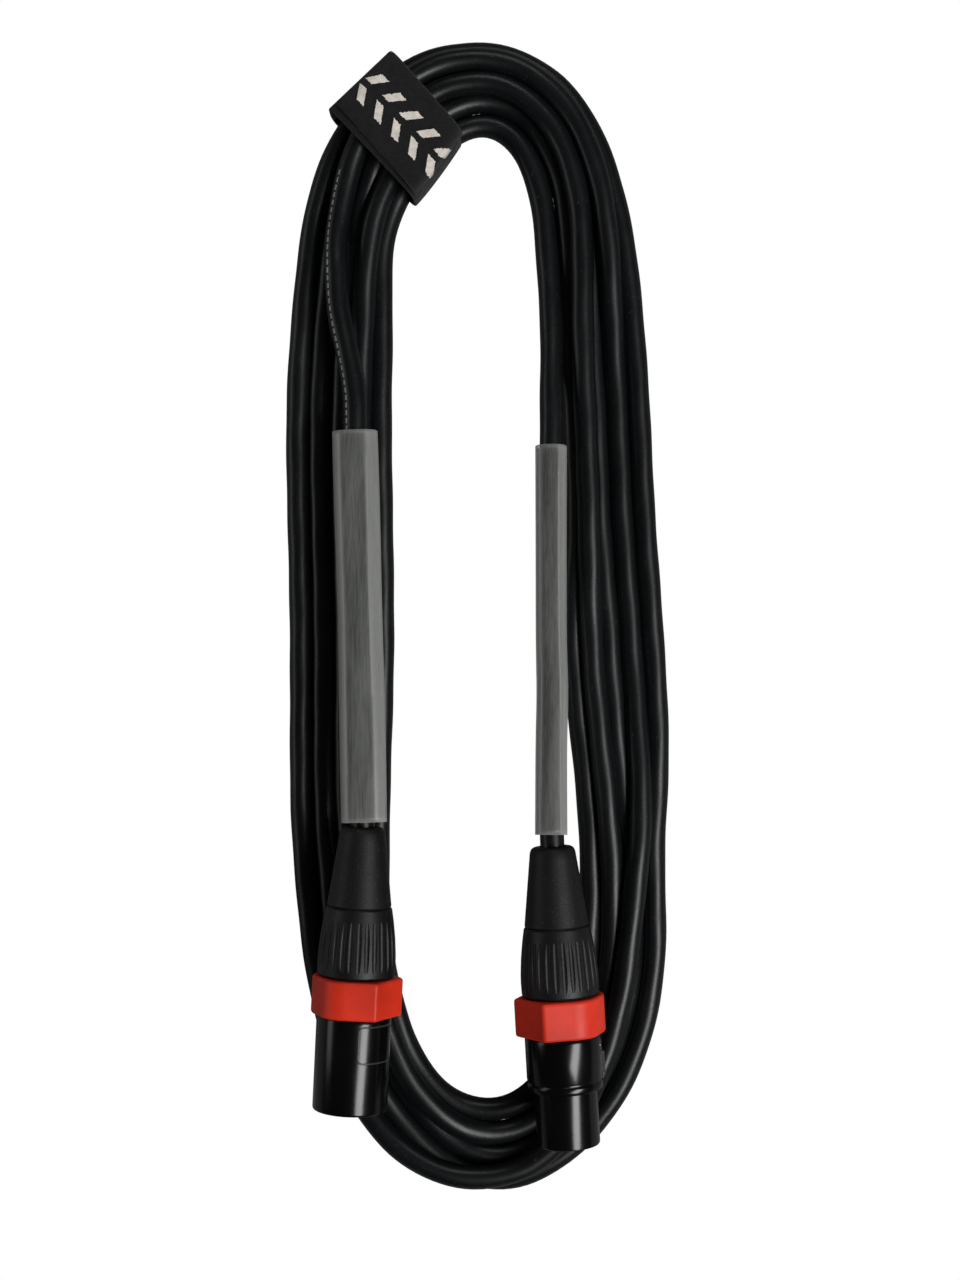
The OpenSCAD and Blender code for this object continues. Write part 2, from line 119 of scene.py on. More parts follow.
def spread(tree, add, source, low, high):
    """Maps a 0-1 value to low-high."""
    made = add("ShaderNodeMapRange")
    made.inputs["To Min"].default_value = low
    made.inputs["To Max"].default_value = high
    tree.links.new(source, made.inputs["Value"])
    return made.outputs["Result"]


def blend_colours(tree, add, share, first, second):
    """Mixes two colours, each a socket or a fixed colour. A share of 0 gives the first."""
    mix = add("ShaderNodeMixRGB", blend_type="MIX")
    for name, value in (("Fac", share), ("Color1", first), ("Color2", second)):
        if isinstance(value, tuple):
            mix.inputs[name].default_value = (*value, 1)
        else:
            tree.links.new(value, mix.inputs[name])
    return mix.outputs["Color"]


def bump(tree, add, shader, source, depth, strength=1.0):
    """Relief from a 0-1 value, depth in metres."""
    made = add("ShaderNodeBump", Strength=strength, Distance=depth)
    tree.links.new(source, made.inputs["Height"])
    tree.links.new(made.outputs["Normal"], shader.inputs["Normal"])


def moulded(name, colour, roughness, grain=0.00004, grain_scale=2500, dust=0.0, shine=0.5):
    """Moulded plastic, rubber or lacquer: uneven colour and gloss, a fine grain and a little dust."""
    material, tree, shader, add = node_material(name)
    broad = noise_field(tree, add, 60, 6)
    fine = noise_field(tree, add, grain_scale, 3)
    light = tuple(min(1.0, c * 1.25 + 0.001) for c in colour)
    dark = tuple(c * 0.82 for c in colour)
    base = ramp(tree, add, broad, [(0.3, dark), (0.7, light)])
    if dust:
        specks = noise_field(tree, add, 1400, 2)
        mask = ramp(tree, add, specks, [(0.66, (0, 0, 0)), (0.74, (dust, dust, dust))])
        base = blend_colours(tree, add, mask, base, (0.35, 0.34, 0.32))
    tree.links.new(base, shader.inputs["Base Color"])
    smudge = noise_field(tree, add, 220, 5)
    tree.links.new(
        spread(tree, add, smudge, roughness * 0.82, roughness * 1.2), shader.inputs["Roughness"]
    )
    shader.inputs["Specular IOR Level"].default_value = shine
    bump(tree, add, shader, fine, grain)
    return material


def metal(name, colour, roughness):
    """Bare metal, drawn or stamped, with fine streaks along one way."""
    material, tree, shader, add = node_material(name)
    streaks = noise_field(tree, add, 900, 3, stretch=(1, 0.15, 1))
    tree.links.new(
        ramp(tree, add, streaks, [(0.3, tuple(c * 0.8 for c in colour)), (0.7, colour)]),
        shader.inputs["Base Color"],
    )
    shader.inputs["Metallic"].default_value = 1
    tree.links.new(
        spread(tree, add, streaks, roughness * 0.7, roughness * 1.3), shader.inputs["Roughness"]
    )
    bump(tree, add, shader, streaks, 0.00001)
    return material


# ---------------------------------------------------------------- cable centreline

CABLE_R = 3.0 * MM
RING = 8  # flats around the CAD jacket
WELD = 0.02 * MM  # points nearer than this are one point
SPACING = 2.0 * MM  # between points of the centreline
SAME_STRAND = 24 * MM  # points nearer than this along the cable belong to one strand
SETTLE_ROUNDS = 110
SINK = 0.02 * MM  # how far a strand sinks in one round
CLING = 1.5 * MM  # strands with a gap smaller than this draw together
TOP_GRIP, BOTTOM_GRIP = 0.3, 0.35  # how well they draw together at the two bends, against 1 between
PUSH_LIMIT = 0.5 * MM  # the most a point moves in one round
SPRING_BACK = 0.985  # share of its sideways shift that a point keeps from round to round
HELD_END, HELD_FADE = 190 * MM, 30 * MM  # the cable's two ends stay where the CAD has them
COARSE_FIT, FINE_FIT = 14, 10  # points to either side, in smoothing before and after settling
TOP_REACH, BOTTOM_REACH = 1.6, -1.4  # millimetres by which the two bends stand out


def jacket_centreline():
    """The middle of each ring of the CAD jacket, in order from the plug's end to the socket's."""
    mesh = bmesh.new()
    mesh.from_mesh(frame["nodes"]["cable_jacket"].data)
    bmesh.ops.remove_doubles(mesh, verts=mesh.verts, dist=WELD)
    mesh.verts.ensure_lookup_table()
    low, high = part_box("plug_chuck")
    nose = -Vector(joints["plug_nut_turn"]["axis"])
    inside = [v for v in mesh.verts if all(low[k] < v.co[k] < high[k] for k in range(3))]
    inside.sort(key=lambda v: -v.co.dot(nose))
    layer = inside[:RING]
    seen = set(layer)
    rings = []
    while layer:
        rings.append(sum((v.co for v in layer), Vector()) / len(layer))
        following = {e.other_vert(v) for v in layer for e in v.link_edges} - seen
        seen |= following
        layer = list(following)
    mesh.free()
    return np.array(rings)


def smooth_curve(points, spacing):
    """A cubic curve through points, at even spacing along its length."""
    gaps = np.linalg.norm(np.diff(points, axis=0), axis=1)
    length = np.concatenate([[0], np.cumsum(gaps)])
    steps = np.diff(points, axis=0) / gaps[:, None]
    slopes = np.empty_like(points)
    slopes[0], slopes[-1] = steps[0], steps[-1]
    share = (gaps[:-1] / (gaps[:-1] + gaps[1:]))[:, None]
    slopes[1:-1] = steps[:-1] * (1 - share) + steps[1:] * share
    at = np.linspace(0, length[-1], int(length[-1] / spacing) + 1)
    i = np.clip(np.searchsorted(length, at, side="right") - 1, 0, len(gaps) - 1)
    g = gaps[i][:, None]
    s = ((at - length[i]) / gaps[i])[:, None]
    return (
        (2 * s**3 - 3 * s**2 + 1) * points[i]
        + (s**3 - 2 * s**2 + s) * g * slopes[i]
        + (3 * s**2 - 2 * s**3) * points[i + 1]
        + (s**3 - s**2) * g * slopes[i + 1]
    )


def without_wiggles(path, reach, free):
    """Fits a local cubic over reach points to either side, which keeps bends and drops wiggles."""
    offsets = np.arange(-reach, reach + 1)
    weights = np.linalg.pinv(np.vander(offsets, 4, increasing=True))[0]
    padded = np.pad(path, ((reach, reach), (0, 0)), mode="edge")
    fitted = sum(w * padded[k:k + len(path)] for k, w in enumerate(weights))
    return path + (fitted - path) * free[:, None]


def soften(values, passes, free):
    """Averages each value with its neighbours, where free is 1."""
    for _ in range(passes):
        middle = values[1:-1]
        values[1:-1] = middle + free[1:-1, None] * 0.5 * ((values[:-2] + values[2:]) / 2 - middle)
    return values


def settle_strands(base, free):
    """Pushes strands apart where they share space, draws near ones together and lets them sink.
    Only the shift from the base path is smoothed, so its bends keep their shape."""
    count = len(base)
    apart = int(SAME_STRAND / SPACING)
    order = np.arange(count)
    reach = 2 * CABLE_R
    # The long sides hold together best; the grip fades above 80 mm and below -37 mm.
    grip = np.clip((105 * MM - base[:, 1]) / (25 * MM), TOP_GRIP, 1)
    grip *= np.clip((base[:, 1] + 62 * MM) / (25 * MM), BOTTOM_GRIP, 1)
    moved = np.zeros_like(base)
    for _ in range(SETTLE_ROUNDS):
        path = base + moved
        shift = np.zeros_like(path)
        shift[:, 2] -= SINK
        for start in range(0, count, 400):
            block = slice(start, min(count, start + 400))
            delta = path[block, None, :] - path[None, :, :]
            distance = np.sqrt((delta**2).sum(-1))
            near = (distance < reach + CLING) & (np.abs(order[block, None] - order[None, :]) > apart)
            rows, columns = np.nonzero(near)
            found = distance[rows, columns]
            away = delta[rows, columns] / np.maximum(found, 1e-6)[:, None]
            gap = reach - found
            push = np.where(found < reach, gap / 4, gap / 25 * grip[rows + start])
            np.add.at(shift, rows + start, away * push[:, None])
        size = np.linalg.norm(shift, axis=1)
        shift *= np.minimum(1, PUSH_LIMIT / np.maximum(size, 1e-9))[:, None]
        moved += shift * free[:, None]
        moved[:, :2] *= SPRING_BACK
        soften(moved, 4, free)
        moved[:, 2] = np.maximum(moved[:, 2], np.minimum(0, CABLE_R - base[:, 2]))
    return base + moved


centreline = smooth_curve(jacket_centreline(), SPACING)
along_path = np.arange(len(centreline)) * SPACING
from_end = np.minimum(along_path, along_path[-1] - along_path)
free = np.clip((from_end - HELD_END) / HELD_FADE, 0, 1)
centreline = without_wiggles(centreline, COARSE_FIT, free)
centreline = settle_strands(centreline, free)
centreline = without_wiggles(centreline, FINE_FIT, free)
past_strap = np.clip((centreline[:, 0] + 5 * MM) / (25 * MM), 0, 1)
reach_out = np.clip((np.abs(centreline[:, 1]) - 70 * MM) / (60 * MM), 0, 1)
reach_out = reach_out**2 * (3 - 2 * reach_out) * free
stretch = np.where(centreline[:, 1] > 0, TOP_REACH * past_strap, BOTTOM_REACH)
centreline[:, 1] += MM * reach_out * stretch
centreline[:, 2] = np.maximum(centreline[:, 2], CABLE_R)  # no strand dips below the rest face


def frames_along(path):
    """Unit tangent, side and up at each point; up stays near +Z, since the coil lies flat."""
    tangent = np.gradient(path, axis=0)
    tangent /= np.linalg.norm(tangent, axis=1)[:, None]
    side = np.cross(tangent, [0, 0, 1.0])
    side /= np.linalg.norm(side, axis=1)[:, None]
    return tangent, side, np.cross(side, tangent)


def run_length(path):
    """Distance along path of each of its points."""
    return np.concatenate([[0], np.cumsum(np.linalg.norm(np.diff(path, axis=0), axis=1))])


def new_object(name, verts, faces, material, smooth=True):
    mesh = bpy.data.meshes.new(name)
    mesh.from_pydata([tuple(v) for v in verts], [], faces)
    mesh.validate()
    mesh.update()
    mesh.materials.append(material)
    if smooth:
        mesh.shade_smooth()
    made = bpy.data.objects.new(name, mesh)
    bpy.context.scene.collection.objects.link(made)
    return made


def face_outward(made):
    """Turns every face of a closed mesh outward."""
    mesh = bmesh.new()
    mesh.from_mesh(made.data)
    bmesh.ops.recalc_face_normals(mesh, faces=mesh.faces)
    mesh.to_mesh(made.data)
    mesh.free()


def skin_faces(rings, sides, closed):
    """Quads between neighbouring rings of points. Where closed, the last ring also joins the first."""
    return [
        (k * sides + j, k * sides + (j + 1) % sides,
         (k + 1) % rings * sides + (j + 1) % sides, (k + 1) % rings * sides + j)
        for k in range(rings if closed else rings - 1) for j in range(sides)
    ]


def extent(node, direction, origin):
    """How far a CAD node reaches along direction, to its near and far end, from origin."""
    reach = [(v.co - origin).dot(direction) for v in frame["nodes"][node].data.vertices]
    return min(reach), max(reach)


def sweep(name, path, radius_at, sides, material):
    """A closed round cord along path. radius_at(distance, angle) gives its radius in metres."""
    tangent, side, up = frames_along(path)
    angle = np.linspace(0, 2 * math.pi, sides, endpoint=False)
    distance = run_length(path)
    radius = radius_at(distance[:, None], angle[None, :])
    verts = (
        path[:, None, :]
        + side[:, None, :] * (radius * np.cos(angle))[:, :, None]
        + up[:, None, :] * (radius * np.sin(angle))[:, :, None]
    ).reshape(-1, 3)
    rows = len(path)
    faces = skin_faces(rows, sides, False)
    faces.append(tuple(range(sides - 1, -1, -1)))
    faces.append(tuple((rows - 1) * sides + j for j in range(sides)))
    return new_object(name, verts, faces, material)


# ---------------------------------------------------------------- materials

jacket_rubber = moulded(
    "jacket_rubber", (0.003, 0.0036, 0.0042), 0.36,
    grain=0.00003, grain_scale=1800, dust=0.06, shine=0.3,
)
shell_lacquer = moulded(
    "shell_lacquer", (0.0016, 0.0016, 0.0016), 0.2,
    grain=0.000003, grain_scale=900, shine=0.32,
)
nut_plastic = moulded(
    "nut_plastic", (0.0028, 0.0028, 0.003), 0.46,
    grain=0.00005, grain_scale=2600, dust=0.04, shine=0.31,
)
boot_rubber = moulded(
    "boot_rubber", (0.0035, 0.0035, 0.0038), 0.52,
    grain=0.00006, grain_scale=2200, dust=0.07, shine=0.28,
)
ring_plastic = moulded(
    "ring_plastic", (0.64, 0.03, 0.011), 0.45, grain=0.00003, grain_scale=1900, shine=0.25
)
# Painted highlight: the panel's raised outline is a lighter grey than the shell lacquer, standing in
# for the light it catches.
ridge_highlight_grey = moulded("ridge_highlight_grey", (0.03, 0.03, 0.03), 0.34, grain=0.000003, grain_scale=900)
insert_plastic = moulded("insert_plastic", (0.012, 0.012, 0.012), 0.4)
chuck_plastic = moulded("chuck_plastic", (0.55, 0.54, 0.5), 0.45)
core_plastic = moulded("core_plastic", (0.7, 0.7, 0.66), 0.4)
spring_steel = metal("spring_steel", (0.62, 0.62, 0.62), 0.25)
braid_metal = metal("braid_metal", (0.66, 0.6, 0.52), 0.35)
contact_metal = metal("contact_metal", (0.83, 0.62, 0.26), 0.22)

NODE_MATERIALS = {
    nut_plastic: ["plug_back_nut", "socket_back_nut"],
    boot_rubber: ["plug_boot", "socket_boot"],
    insert_plastic: ["plug_insert", "socket_insert", "socket_latch"],
    chuck_plastic: ["plug_chuck", "socket_chuck"],
    core_plastic: ["plug_conductors", "socket_conductors"],
    spring_steel: ["plug_ground_spring", "socket_ground_spring", "latch_pin", "latch_spring"],
    braid_metal: ["cable_shield"],
    contact_metal: ["plug_pins", "socket_contacts"],
}


def smooth_cad(part):
    """Shades a CAD node's curved faces smoothly, with modifiers only. Its edges stay crisp."""
    if "custom_normal" in part.data.attributes:
        part.data.attributes.remove(part.data.attributes["custom_normal"])
    part.data.polygons.foreach_set("use_smooth", [True] * len(part.data.polygons))
    weld = part.modifiers.new("weld", "WELD")
    weld.merge_threshold = 0.000002
    split = part.modifiers.new("split", "EDGE_SPLIT")
    split.split_angle = math.radians(24)
    split.use_edge_sharp = False


for material, names in NODE_MATERIALS.items():
    for name in names:
        mesh = frame["nodes"][name].data
        for slot in range(len(mesh.materials)):
            mesh.materials[slot] = material
        smooth_cad(frame["nodes"][name])


# ---------------------------------------------------------------- connector shells

CREASE = math.radians(40)  # edges sharper than this stay crisp


def turned(name, origin, nose, profile, material, sides=120):
    """A closed profile of (radius, distance along nose) turned about the line through origin."""
    right = nose.cross(UP).normalized()
    up = right.cross(nose)
    verts = [
        origin + nose * z + (right * math.cos(a) + up * math.sin(a)) * r
        for r, z in profile
        for a in (2 * math.pi * j / sides for j in range(sides))
    ]
    made = new_object(name, verts, skin_faces(len(profile), sides, True), material)
    face_outward(made)
    made.data.set_sharp_from_angle(angle=CREASE)
    return made


def connector_axis(side):
    """A connector's nose direction, the point on its axis at its back, and its shell's length."""
    turn = joints[side + "_nut_turn"]
    nose = -Vector(turn["axis"])
    nose.normalize()
    pivot = Vector(turn["pos_m"])
    start, end = extent(side + "_shell", nose, pivot)
    return nose, pivot + nose * start, end - start


def millimetres(*points):
    """Profile points given in millimetres, in metres."""
    return [(r * MM, z * MM) for r, z in points]


plug_nose, plug_back, plug_length = connector_axis("plug")
length = plug_length / MM
plug_skin = turned("plug_skin", plug_back, plug_nose, millimetres(
    (7.6, 0), (9.0, 0), (9.3, 0.12), (9.45, 0.4), (9.5, 0.9),
    (9.5, length - 0.6), (9.44, length - 0.25), (9.28, length - 0.06), (9.05, length),
    (8.35, length), (8.2, length - 0.3), (8.2, 6.9), (7.6, 6.9),
), shell_lacquer)

socket_nose, socket_back, socket_length = connector_axis("socket")
length = socket_length / MM
shoulder = length - 14
socket_skin = turned("socket_skin", socket_back, socket_nose, millimetres(
    (7.6, 0), (9.2, 0), (9.5, 0.12), (9.65, 0.4), (9.7, 0.9),
    (9.7, shoulder - 3), (9.6, shoulder - 2.8), (9.38, shoulder - 2.6), (9.35, shoulder - 2.3),
    (9.6, shoulder - 1.9), (9.66, shoulder - 1.7), (9.62, shoulder - 0.7), (9.45, shoulder - 0.3),
    (9.1, shoulder - 0.05), (8.3, shoulder), (8.0, shoulder + 0.1),
    (8.0, length - 0.6), (7.93, length - 0.22), (7.75, length - 0.04), (7.55, length),
    (7.15, length), (7.1, 8.4), (7.6, 8.4),
), shell_lacquer)


def cut_slot(made, origin, nose, node, room):
    """Opens a slot through a shell where node sits, with room around it."""
    low, high = extent(node, nose, origin)
    reach = UP.cross(nose).normalized()
    inner, outer = extent(node, reach, origin)
    half = extent(node, UP, origin)[1] + room
    centre = origin + nose * (low + high) / 2 + reach * (inner + outer) / 2
    along, through = nose * ((high - low) / 2 + room), reach * ((outer - inner) / 2 + 1 * MM)
    block = bmesh.new()
    bmesh.ops.create_cube(block, size=2.0)
    for vert in block.verts:
        vert.co = centre + along * vert.co.x + through * vert.co.y + UP * half * vert.co.z
    bmesh.ops.recalc_face_normals(block, faces=block.faces)
    cutter = new_object("cutter", [], [], made.data.materials[0], False)
    block.to_mesh(cutter.data)
    block.free()
    slot = made.modifiers.new("slot", "BOOLEAN")
    slot.operation = "DIFFERENCE"
    slot.solver = "EXACT"
    slot.object = cutter
    opened = bpy.data.meshes.new_from_object(made.evaluated_get(bpy.context.evaluated_depsgraph_get()))
    made.modifiers.clear()
    made.data = opened
    bpy.data.objects.remove(cutter)
    made.data.set_sharp_from_angle(angle=math.radians(30))


cut_slot(socket_skin, socket_back, socket_nose, "socket_latch", 0.2 * MM)


def coding_ring(name, node, origin, nose, across, fillets, turn):
    """A six-sided ring whose corners have their own fillets and whose rims are rounded."""
    side = UP.cross(nose).normalized()
    low, high = extent(node, nose, origin)
    offsets = [v.co - origin for v in frame["nodes"][node].data.vertices]
    bore = min((offset - nose * offset.dot(nose)).length for offset in offsets)
    rim = 0.8 * MM
    half_side = math.radians(30)
    outline = []
    for k, fillet in enumerate(fillets):
        corner = math.radians(60 * k)
        centre = across / 2 - fillet / math.cos(half_side)
        for j in range(9):
            a = corner + half_side * (j / 4 - 1)
            outline.append((centre * math.cos(corner) + fillet * math.cos(a),
                            centre * math.sin(corner) + fillet * math.sin(a), a))
        flat = corner + half_side
        after = math.radians(60 * (k + 1))
        next_fillet = fillets[(k + 1) % 6]
        next_centre = across / 2 - next_fillet / math.cos(half_side)
        x0, y0 = outline[-1][:2]
        x1 = next_centre * math.cos(after) + next_fillet * math.cos(flat)
        y1 = next_centre * math.sin(after) + next_fillet * math.sin(flat)
        outline += [(x0 + (x1 - x0) * f, y0 + (y1 - y0) * f, flat) for f in (0.04, 0.35, 0.65, 0.96)]
    bends = [math.pi / 2 * k / 5 for k in range(6)]
    quarter = [(rim * (1 - math.cos(a)), rim * (1 - math.sin(a))) for a in bends]
    rows = [(inset, low + down) for inset, down in reversed(quarter)]
    rows += [(0, low + rim * 1.15), (0, high - rim * 1.15)]
    rows += [(inset, high - down) for inset, down in quarter]
    verts = []

    def place(x, y, z):
        c, n = math.cos(turn), math.sin(turn)
        verts.append(origin + nose * z + side * (x * c - y * n) + UP * (x * n + y * c))

    for inset, z in rows:
        for x, y, a in outline:
            place(x - inset * math.cos(a), y - inset * math.sin(a), z)
    for radius, z in ((bore + rim, high), (bore, high - rim), (bore, low + rim), (bore + rim, low)):
        for x, y, a in outline:
            bearing = math.atan2(y, x)
            place(radius * math.cos(bearing), radius * math.sin(bearing), z)
    made = new_object(name, verts, skin_faces(len(rows) + 4, len(outline), True), ring_plastic)
    face_outward(made)
    made.data.set_sharp_from_angle(angle=CREASE)
    return made


CRISP, ROUND = 1.0 * MM, 7 * MM  # corner fillets
RING_ACROSS = 24.2 * MM
for side_name, origin, nose, fillets, turn in (
    ("plug", plug_back, plug_nose, (CRISP, CRISP, ROUND, ROUND, CRISP, CRISP), 0),
    ("socket", socket_back, socket_nose, (ROUND, ROUND, CRISP, CRISP, CRISP, CRISP), -6),
):
    node = side_name + "_coding_ring"
    ring = coding_ring(
        side_name + "_ring", node, origin, nose, RING_ACROSS, fillets, math.radians(turn)
    )
    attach(ring, side_name + "_nut_carrier")
    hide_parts(node)


def panel_edge(name, origin, nose, radius, angles, reach, bead, material):
    """A thin raised outline, round cornered, on a shell: angles from up and reach along nose."""
    right = nose.cross(UP).normalized()
    up = right.cross(nose)
    half_width = radius * math.radians(angles[1] - angles[0]) / 2
    half_length = (reach[1] - reach[0]) / 2
    middle = math.radians(angles[0] + angles[1]) / 2
    corner = 1.3 * MM
    outline = []
    for quarter in range(4):
        for k in range(9):
            turn = math.pi / 2 * (quarter + k / 8)
            x = math.copysign(half_width - corner, math.cos(math.pi / 2 * (quarter + 0.5)))
            y = math.copysign(half_length - corner, math.sin(math.pi / 2 * (quarter + 0.5)))
            outline.append((x + corner * math.cos(turn), y + corner * math.sin(turn)))
    fine = []
    for (x0, y0), (x1, y1) in zip(outline, outline[1:] + outline[:1]):
        steps = max(1, int(math.hypot(x1 - x0, y1 - y0) / (0.5 * MM)))
        fine += [(x0 + (x1 - x0) * k / steps, y0 + (y1 - y0) * k / steps) for k in range(steps)]
    count, sides = len(fine), 8
    verts = []
    for k, (x, y) in enumerate(fine):
        before, after = fine[k - 1], fine[(k + 1) % count]
        across = Vector((after[1] - before[1], before[0] - after[0])).normalized()
        for j in range(sides):
            a = 2 * math.pi * j / sides
            bearing = middle + (x + across.x * bead * math.cos(a)) / radius
            along = (reach[0] + reach[1]) / 2 + y + across.y * bead * math.cos(a)
            out = radius + bead * (0.6 * math.sin(a) - 0.1)
            radial = right * math.sin(bearing) + up * math.cos(bearing)
            verts.append(origin + nose * along + radial * out)
    return new_object(name, verts, skin_faces(count, sides, True), material)


panel_start = plug_length - 22.4 * MM
# The outline's lighter grey material is a painted highlight on the ridge.
plug_panel = panel_edge(
    "plug_panel_edge", plug_back, plug_nose, radius=9.5 * MM, angles=(-83, -12),
    reach=(panel_start, panel_start + 9.1 * MM), bead=0.24 * MM, material=ridge_highlight_grey,
)
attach(plug_panel, "root")

for made, node in ((plug_skin, "plug_shell"), (socket_skin, "socket_shell")):
    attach(made, "root")
    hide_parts(node)


# ---------------------------------------------------------------- cable

JACKET_SWELL = 0.06 * MM


def cable_radius(distance, angle):
    """The jacket shows the lay of the two cores under it as a slow twist, and is a little uneven."""
    lay = 0.055 * MM * np.sin(2 * math.pi * distance / (19 * MM) + 2 * angle)
    slow = 0.03 * MM * np.sin(2 * math.pi * distance / (67 * MM))
    return CABLE_R + JACKET_SWELL + lay + slow


cable = sweep("cable", centreline, cable_radius, 24, jacket_rubber)
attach(cable, "root")
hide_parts("cable_jacket")


LEGEND_START, LEGEND_RUN = 0.146, 0.072  # metres along the cable from the plug's end
LEGEND_BEARING = math.radians(132)


def legend_bars(name, path, bearing, length, gap, width):
    """A row of short pale bars, each a thin block set on the cable."""
    tangent, side, up = frames_along(path)
    distance = run_length(path)
    verts, faces = [], []
    for start in np.arange(0, distance[-1] - length, length + gap):
        first = len(verts)
        for end in (start, start + length):
            middle = np.array([np.interp(end, distance, path[:, k]) for k in range(3)])
            nearest = int(np.searchsorted(distance, end))
            for tilt, lift in ((-1, -0.1), (1, -0.1), (1, 0.17), (-1, 0.17)):
                a = bearing + tilt * width / 2 / CABLE_R
                out = side[nearest] * math.cos(a) + up[nearest] * math.sin(a)
                verts.append(middle + out * (CABLE_R + lift * MM))
        for k in range(4):
            n = (k + 1) % 4
            faces.append((first + k, first + n, first + 4 + n, first + 4 + k))
        faces.append((first + 3, first + 2, first + 1, first))
        faces.append((first + 4, first + 5, first + 6, first + 7))
    return new_object(name, verts, faces, legend_ink, False)


legend_ink = moulded("legend_ink", (0.2, 0.21, 0.21), 0.5, grain=0.0, grain_scale=900)
plug_run = centreline if centreline[0, 0] < centreline[-1, 0] else centreline[::-1]
run_start = int(LEGEND_START / SPACING)
legend = legend_bars(
    "cable_legend_bars", plug_run[run_start:run_start + int(LEGEND_RUN / SPACING)],
    LEGEND_BEARING, length=1.3 * MM, gap=0.7 * MM, width=0.38 * MM,
)
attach(legend, "root")


# ---------------------------------------------------------------- label sleeves

SLEEVE_WALL = 0.35 * MM


def sleeve_plastic(name, shade):
    """Frosted clear tubing: milky, a little green-grey, streaked lengthways, paler on its flanks and
    folds; that paleness is partly the frosting and partly painted sheen where light falls on them.
    """
    material, tree, shader, add = node_material(name)
    streaks = add("ShaderNodeMixRGB", blend_type="MIX", Fac=0.5)
    tree.links.new(noise_field(tree, add, 300, 5, stretch=(1, 0.06, 1)), streaks.inputs["Color1"])
    tree.links.new(noise_field(tree, add, 2400, 3, stretch=(1, 0.03, 1)), streaks.inputs["Color2"])
    streaks = streaks.outputs["Color"]
    cloud = noise_field(tree, add, 90, 5)
    dark, light = (0.085, 0.09, 0.086), (0.245, 0.253, 0.24)
    body = ramp(tree, add, streaks, [
        (0.38, tuple(c * shade for c in dark)), (0.62, tuple(c * shade for c in light)),
    ])
    # Whitening read from the attribute: frosting, plus painted sheen on the flanks and creases.
    milk_and_sheen = add("ShaderNodeAttribute", attribute_name="milk_and_sheen")
    body = blend_colours(tree, add, milk_and_sheen.outputs["Fac"], body, (0.42, 0.43, 0.41))
    tree.links.new(body, shader.inputs["Base Color"])
    tree.links.new(spread(tree, add, cloud, 0.32, 0.5), shader.inputs["Roughness"])
    layer = add("ShaderNodeLayerWeight", Blend=0.35)
    rim = spread(tree, add, layer.outputs["Facing"], 0.42, 0.96)
    tree.links.new(rim, shader.inputs["Alpha"])
    shader.inputs["Specular IOR Level"].default_value = 0.6
    bump(tree, add, shader, streaks, 0.00008, 0.5)
    return material


def signed_power(value, power):
    """value raised to power, with its sign kept; squares off an ellipse where power is below 1."""
    return math.copysign(abs(value) ** power, value)


def sleeve_tube(name, node, sleeve_joint, width, height, wander, material):
    """Tubing pressed partly flat and a little kinked: an outer and an inner skin joined at its ends."""
    axis = Vector(joints[sleeve_joint]["axis"]).normalized()
    low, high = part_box(node)
    middle = (low + high) / 2
    start, end = extent(node, axis, middle)
    length = end - start
    across = axis.cross(UP).normalized()
    up = across.cross(axis).normalized()
    rows, sides = 81, 96
    verts = []
    milk_and_sheen = []
    for inset in (0.0, SLEEVE_WALL):
        for k in range(rows):
            s = k / (rows - 1)
            shift, squeeze, roll = wander(s)
            centre = middle + axis * (start + s * length) + across * shift
            for j in range(sides):
                a = 2 * math.pi * j / sides
                x = (width / 2 * squeeze - inset) * signed_power(math.cos(a), 0.8)
                y = (height / 2 / squeeze ** 0.5 - inset) * signed_power(math.sin(a), 0.9)
                c, n = math.cos(roll), math.sin(roll)
                verts.append(centre + across * (x * c - y * n) + up * (x * n + y * c))
                milk_and_sheen.append(milk_and_painted_sheen(math.cos(a), s))
    inner = rows * sides
    faces = []
    for k in range(rows - 1):
        for j in range(sides):
            n = (j + 1) % sides
            faces.append((k * sides + j, k * sides + n, (k + 1) * sides + n, (k + 1) * sides + j))
            faces.append((
                inner + k * sides + n, inner + k * sides + j,
                inner + (k + 1) * sides + j, inner + (k + 1) * sides + n,
            ))
    for k in (0, rows - 1):
        for j in range(sides):
            n = (j + 1) % sides
            rim = (k * sides + n, k * sides + j, inner + k * sides + j, inner + k * sides + n)
            faces.append(rim if k == 0 else rim[::-1])
    made = new_object(name, verts, faces, material)
    tone = made.data.attributes.new("milk_and_sheen", "FLOAT", "POINT")
    tone.data.foreach_set("value", milk_and_sheen)
    return made


def milk_and_painted_sheen(x, s):
    """How white the tubing is: paler outside its two long creases, palest on them and at its ends. On
    the flanks and creases this is partly the frosting and partly painted sheen standing in for the
    light on them; at the ends it is the cut film.
    """
    left, right = -0.62 + 0.05 * math.sin(2 * s), 0.5 - 0.08 * math.sin(2.5 * s)
    crease = math.exp(-((x - left) / 0.05) ** 2) + math.exp(-((x - right) / 0.05) ** 2)
    # Painted sheen: each flank is whitened by its own amount, standing in for the light falling on that
    # side.
    side = 0.75 if x < left else 0.6 if x > right else 0.04
    cut_end = math.exp(-s / 0.006) + math.exp(-(1 - s) / 0.006)
    return min(1.0, side + 0.45 * crease + 0.7 * cut_end)


def plug_wander(s):
    """Sideways shift, squeeze and roll of the plug's sleeve at share s of its length."""
    return 0.25 * MM * math.sin(3.1 * s + 0.4), 1.0 + 0.015 * math.sin(9 * s), 0.06 * math.sin(2.2 * s)


def socket_wander(s):
    """The same for the socket's sleeve, which has a kink."""
    kink = math.exp(-((s - 0.36) / 0.1) ** 2)
    return 0.3 * MM * (kink - 0.3), 1.0 - 0.03 * math.sin(math.pi * s) + 0.02 * kink, 0.1 * s


